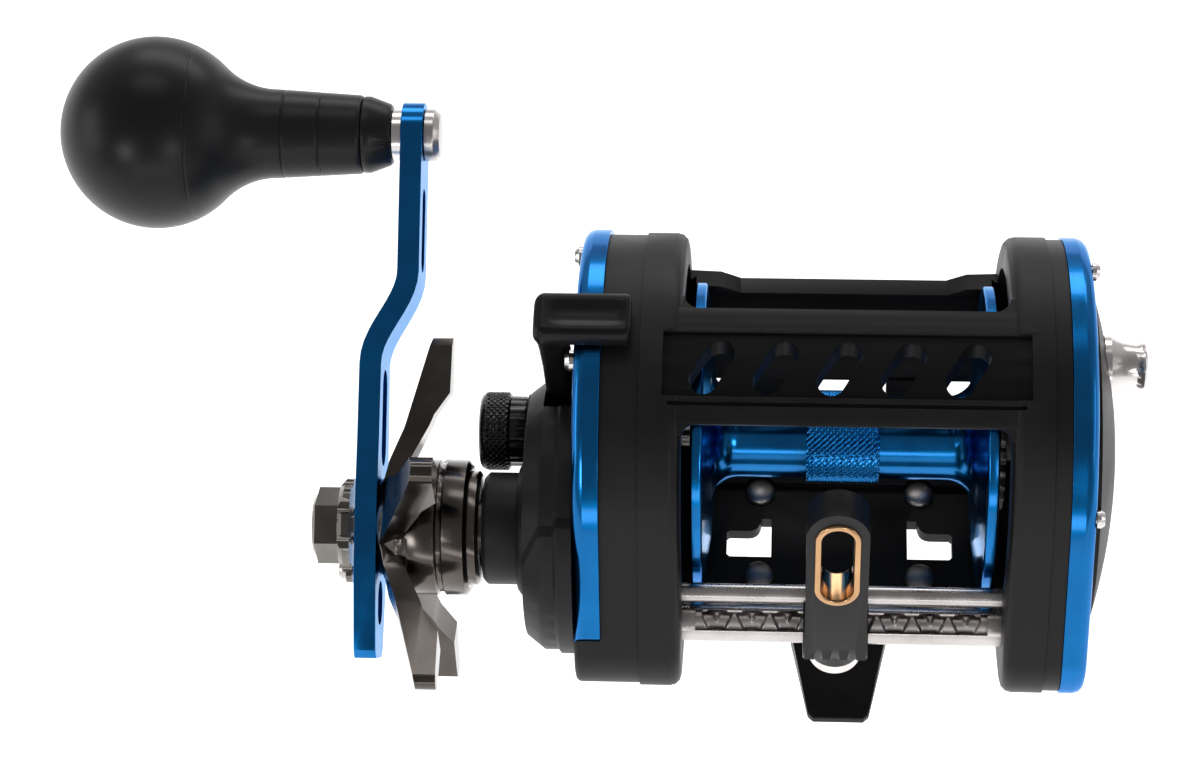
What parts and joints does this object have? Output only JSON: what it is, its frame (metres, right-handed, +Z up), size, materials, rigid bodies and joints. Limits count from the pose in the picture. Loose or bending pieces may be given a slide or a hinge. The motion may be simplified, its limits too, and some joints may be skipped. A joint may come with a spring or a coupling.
{
  "type": "trolling reel",
  "caption": "Star-drag trolling fishing reel with a level-wind line guide, slotted crossbar frame, clutch lever, clicker and a bent crank with a ball grip.",
  "frame": {"origin": "centre of the foot's underside, midway between the spool's flanges and straight below the spool's axis", "axes": "+X along the spool axis away from the crank, +Y away from the rod tip, +Z up from the rod"},
  "size_m": [0.1983, 0.1113, 0.0922],
  "materials": {
    "frame_black": "satin moulded graphite",
    "foot_black": "black powder coat",
    "blue_anodised": "blue anodised, satin",
    "gunmetal": "dark gunmetal plate",
    "nickel": "bright nickel",
    "steel": "stainless",
    "rivet_grey": "grey rivet",
    "brass_gear": "machined brass",
    "ring_bronze": "polished bronze",
    "grip_rubber": "satin black",
    "gloss_black": "gloss black",
    "carriage_black": "moulded black",
    "acetal_white": "natural acetal",
    "drag_fibre": "woven carbon"
  },
  "bodies": {
    "housing": {"frame": "frame_black", "foot": "foot_black", "foot_rivets": "rivet_grey", "crank_side_plate": "frame_black", "crank_side_ring": "blue_anodised", "gear_housing": "frame_black", "housing_screws": "nickel", "left_side_plate": "frame_black", "left_side_ring": "blue_anodised", "left_cover": "frame_black", "left_screws": "nickel", "spool_bearing_left": "steel", "spool_bearing_right": "steel", "idler_stud": "steel", "worm_tube": "steel", "worm_bushings": "brass_gear", "guide_rod": "steel", "crank_bearing": "steel", "roller_bearing": "steel", "yoke_posts": "steel", "yoke_springs": "steel", "click_plate": "steel"},
    "crank": {"crank_shaft": "steel", "main_gear": "brass_gear", "drag_fibre_washers": "drag_fibre", "drag_steel_washers": "steel", "clutch_sleeve": "steel", "handle_arm": "blue_anodised", "handle_nut": "gunmetal", "nut_retainer": "gunmetal", "retainer_screw": "steel", "grip_spindle": "steel", "grip_washer": "nickel"},
    "star": {"star_wheel": "gunmetal", "star_nut": "brass_gear", "star_springs": "steel"},
    "grip": {"grip": "grip_rubber", "grip_collar": "grip_rubber", "grip_cap": "grip_rubber", "grip_bushings": "brass_gear"},
    "spool": {"spool": "blue_anodised", "spool_shaft": "steel", "spool_cog": "acetal_white", "click_ratchet": "steel"},
    "pinion": {"pinion": "brass_gear"},
    "yoke": {"yoke": "brass_gear"},
    "clutch": {"clutch_cam": "brass_gear", "clutch_lever": "gloss_black"},
    "idler": {"idler_gear": "acetal_white"},
    "worm": {"worm_gear": "acetal_white", "worm_shaft": "steel"},
    "line_guide": {"line_guide": "carriage_black", "guide_ring": "ring_bronze", "guide_pawl": "steel", "pawl_cap": "nickel"},
    "tension": {"tension_knob": "gloss_black", "tension_pad": "steel"},
    "clicker": {"click_button": "nickel", "click_pawl": "steel"}
  },
  "joints": [
    {"name": "crank_turn", "type": "hinge", "parent": "housing", "child": "crank", "pos_m": [-0.06, -0.019, 0.03261], "axis": [1, 0, 0], "continuous": true},
    {"name": "star_turn", "type": "hinge", "parent": "crank", "child": "star", "pos_m": [-0.072, -0.019, 0.03261], "axis": [1, 0, 0], "range_deg": [0, 300]},
    {"name": "grip_spin", "type": "hinge", "parent": "crank", "child": "grip", "pos_m": [-0.11, 0.03998, 0.07391], "axis": [1, 0, 0], "continuous": true},
    {"name": "spool_spin", "type": "hinge", "parent": "housing", "child": "spool", "pos_m": [0, 0, 0.037], "axis": [1, 0, 0], "continuous": true},
    {"name": "idler_spin", "type": "hinge", "parent": "housing", "child": "idler", "pos_m": [0.0335, -0.01496, 0.03099], "axis": [1, 0, 0], "continuous": true},
    {"name": "worm_spin", "type": "hinge", "parent": "housing", "child": "worm", "pos_m": [0, -0.03271, 0.02385], "axis": [1, 0, 0], "continuous": true},
    {"name": "yoke_slide", "type": "slide", "parent": "housing", "child": "yoke", "axis": [-1, 0, 0], "range_m": [0, 0.0018], "deforming": ["yoke_springs"]},
    {"name": "pinion_spin", "type": "hinge", "parent": "yoke", "child": "pinion", "pos_m": [-0.048, 0, 0.037], "axis": [1, 0, 0], "continuous": true},
    {"name": "clutch_lever_swing", "type": "hinge", "parent": "housing", "child": "clutch", "pos_m": [-0.05, 0, 0.037], "axis": [-1, 0, 0], "range_deg": [0, 22]},
    {"name": "tension_knob_turn", "type": "hinge", "parent": "housing", "child": "tension", "pos_m": [-0.062, 0, 0.037], "axis": [1, 0, 0], "range_deg": [-180, 180]},
    {"name": "line_guide_travel", "type": "slide", "parent": "housing", "child": "line_guide", "axis": [1, 0, 0], "range_m": [-0.018, 0.02]},
    {"name": "clicker_slide", "type": "slide", "parent": "housing", "child": "clicker", "axis": [0, -0.2079, -0.9781], "range_m": [0, 0.003]}
  ],
  "couplings": [
    {"joint": "spool_spin", "follows": "crank_turn", "ratio": -4.2},
    {"joint": "idler_spin", "follows": "crank_turn", "ratio": 2.4889},
    {"joint": "worm_spin", "follows": "crank_turn", "ratio": -2.8},
    {"joint": "pinion_spin", "follows": "crank_turn", "ratio": -4.2},
    {"joint": "yoke_slide", "follows": "clutch_lever_swing", "m_per_rad": 0.004687}
  ]
}
